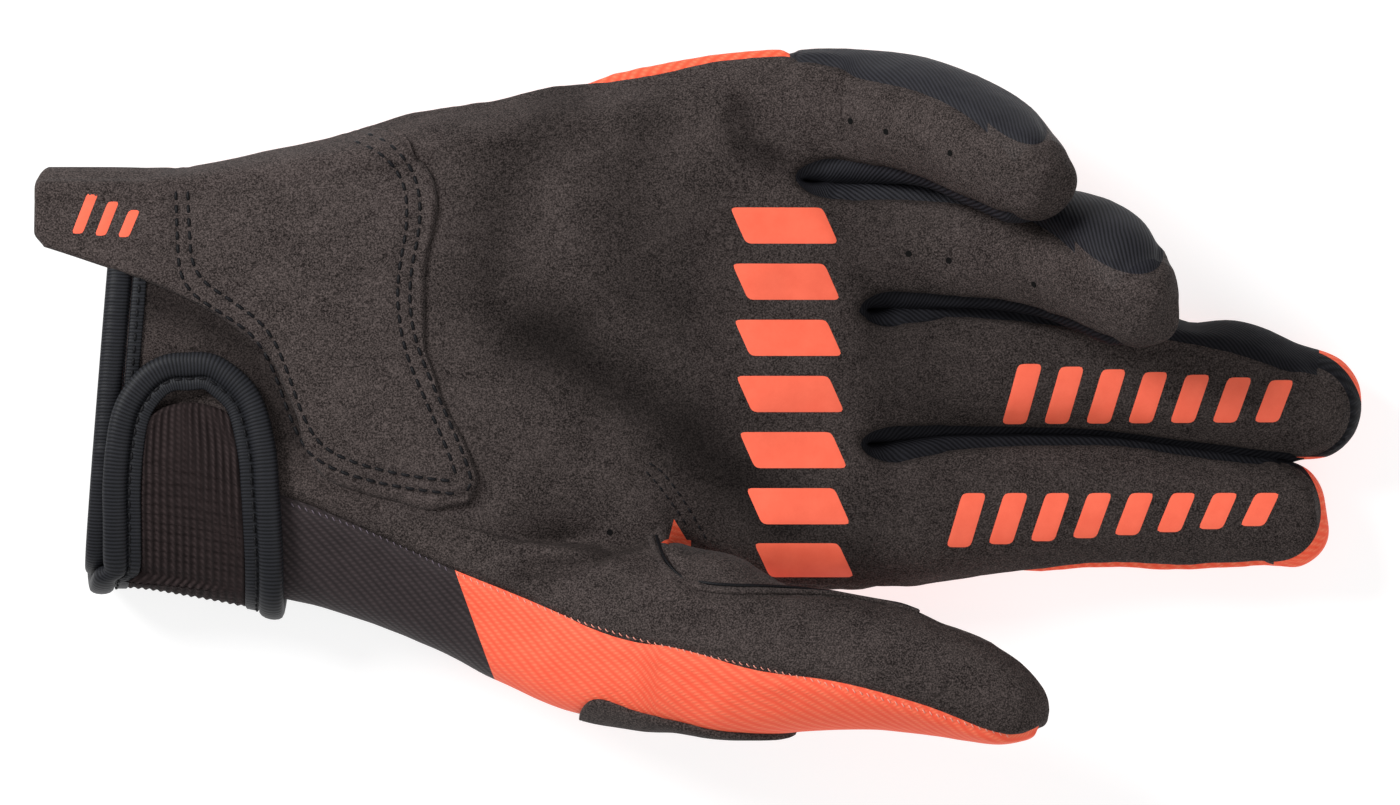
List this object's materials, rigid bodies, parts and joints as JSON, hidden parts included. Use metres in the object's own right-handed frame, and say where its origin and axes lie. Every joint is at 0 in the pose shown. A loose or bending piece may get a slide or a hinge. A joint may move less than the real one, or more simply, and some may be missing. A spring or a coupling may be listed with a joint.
{
  "type": "motocross glove",
  "caption": "Right-hand motocross glove lying palm up: suede palm, textile back, side strips between curled fingers, set-in thumb, heel patch with pull tab and bound wrist flap.",
  "frame": {"origin": "middle of the glove's footprint, on the surface that it lies on", "axes": "+X along the fingers, +Y towards the little finger, +Z out of the palm, which faces up"},
  "size_m": [0.2388, 0.1252, 0.0527],
  "materials": {
    "palm_suede": "matt brown-black synthetic suede",
    "thumb_suede": "matt brown-black synthetic suede",
    "heel_suede": "matt grey-brown synthetic suede",
    "orange_textile": "diagonally ribbed stretch textile, orange with a black part at the wrist",
    "black_twill": "fine black twill with a slight sheen",
    "knit": "matt ribbed knit",
    "binding": "ribbed binding tape, slight sheen"
  },
  "bodies": {
    "root": {"palm_panel": "palm_suede", "back_panel": "orange_textile", "thumb_front": "thumb_suede", "thumb_side": "orange_textile", "thumb_inner": "palm_suede", "fourchette_ring_pinky": "black_twill", "fourchette_middle_ring": "black_twill", "fourchette_index_middle": "black_twill", "pinky_side_panel": "black_twill", "heel_patch": "heel_suede", "wrist_flap": "knit", "flap_binding": "binding", "cuff_binding": "binding", "thumb_patch": "thumb_suede"}
  },
  "joints": []
}
